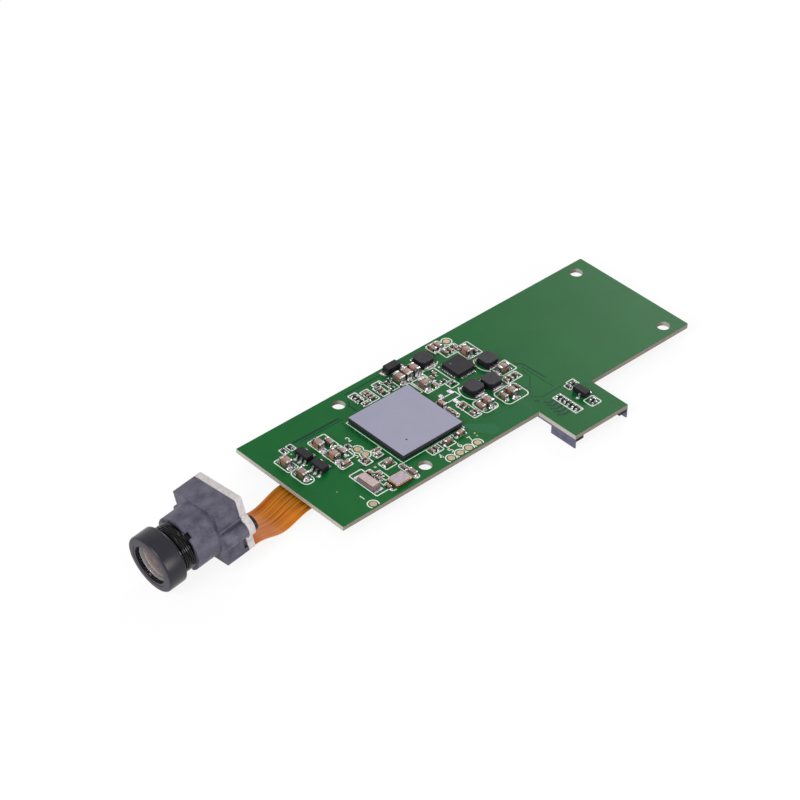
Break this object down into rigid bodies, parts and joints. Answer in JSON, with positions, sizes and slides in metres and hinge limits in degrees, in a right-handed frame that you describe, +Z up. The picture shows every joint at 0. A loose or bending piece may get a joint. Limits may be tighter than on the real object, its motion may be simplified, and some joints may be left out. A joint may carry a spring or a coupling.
{
  "type": "camera module",
  "caption": "Small camera module: screw-focus lens unit on a short flat cable, and a long green circuit board with a card socket under its tab.",
  "frame": {"origin": "middle of the four board holes, on the board's underside", "axes": "+X along the board away from the lens unit, +Y across the board away from the tab, +Z up out of the chip side"},
  "size_m": [0.1087, 0.0337, 0.0129],
  "materials": {
    "board_green": "green solder mask over woven glass laminate",
    "pad_gold": "thin gold plating",
    "solder_tin": "bright tin",
    "package_black": "matt moulded epoxy",
    "package_grey": "lavender-grey moulded epoxy with a satin top",
    "inductor_dark": "dark pressed powder core",
    "capacitor_ceramic": "tan-brown ceramic",
    "resistor_ceramic": "black-coated ceramic",
    "crystal_ceramic": "ceramic with a gilt rim",
    "crystal_lid": "dull nickel-plated lid",
    "socket_steel": "satin blue-grey sheet steel",
    "connector_nylon": "ivory nylon",
    "cable_amber": "amber polyimide film over copper traces",
    "holder_plastic": "slate-grey moulded plastic",
    "barrel_black": "satin black anodised aluminium",
    "lens_glass": "coated optical glass",
    "sensor_board_pale": "pale laminate",
    "sensor_ceramic": "dark ceramic carrier",
    "sensor_window": "clear cover glass",
    "infrared_glass": "reddish filter glass",
    "screw_black": "black oxide steel"
  },
  "bodies": {
    "board": {"main_board": "board_green", "test_pads": "pad_gold", "solder_pads": "solder_tin", "processor_substrate": "package_black", "processor_cap": "package_grey", "processor_balls": "solder_tin", "power_chip_body": "package_black", "power_chip_leads": "solder_tin", "regulator_1_body": "package_black", "regulator_1_leads": "solder_tin", "regulator_2_body": "package_black", "regulator_2_leads": "solder_tin", "transistor_body": "package_black", "transistor_leads": "solder_tin", "diode_body": "package_black", "diode_terminals": "solder_tin", "inductor_bodies": "inductor_dark", "inductor_terminals": "solder_tin", "large_capacitor_bodies": "capacitor_ceramic", "large_capacitor_ends": "solder_tin", "small_capacitor_bodies": "capacitor_ceramic", "small_capacitor_ends": "solder_tin", "resistor_bodies": "resistor_ceramic", "resistor_ends": "solder_tin", "long_crystal_base": "crystal_ceramic", "long_crystal_lid": "crystal_lid", "clock_crystal_base": "crystal_ceramic", "clock_crystal_lid": "crystal_lid", "card_socket_shell": "socket_steel", "card_socket_base": "package_black", "card_socket_contacts": "pad_gold", "flash_chip_body": "package_black", "flash_chip_leads": "solder_tin", "cable_connector_housing": "connector_nylon", "cable_connector_contacts": "pad_gold", "flat_cable": "cable_amber", "cable_stiffener": "cable_amber", "lens_holder": "holder_plastic", "sensor_board": "sensor_board_pale", "image_sensor": "sensor_ceramic", "sensor_glass": "sensor_window", "infrared_filter": "infrared_glass", "holder_screw_1": "screw_black", "holder_screw_2": "screw_black"},
    "lens_glass": {"front_lens": "lens_glass", "middle_lens": "lens_glass", "rear_lens": "lens_glass"},
    "lens_barrel": {"lens_barrel": "barrel_black", "front_lens_ring": "barrel_black", "rear_lens_ring": "barrel_black"},
    "latch": {"cable_connector_latch": "package_black"}
  },
  "joints": [
    {"name": "lens_advance", "type": "slide", "parent": "board", "child": "lens_glass", "axis": [-0.9882, 0, -0.153], "range_m": [-0.0007, 0.0007]},
    {"name": "focus_turn", "type": "hinge", "parent": "lens_glass", "child": "lens_barrel", "pos_m": [-0.07154, -0.0017, 0.00376], "axis": [-0.9882, 0, -0.153], "range_deg": [-720, 720]},
    {"name": "latch_slide", "type": "slide", "parent": "board", "child": "latch", "axis": [-1, 0, 0], "range_m": [0, 0.001]}
  ],
  "couplings": [
    {"joint": "focus_turn", "follows": "lens_advance", "rad_per_m": 17952}
  ]
}
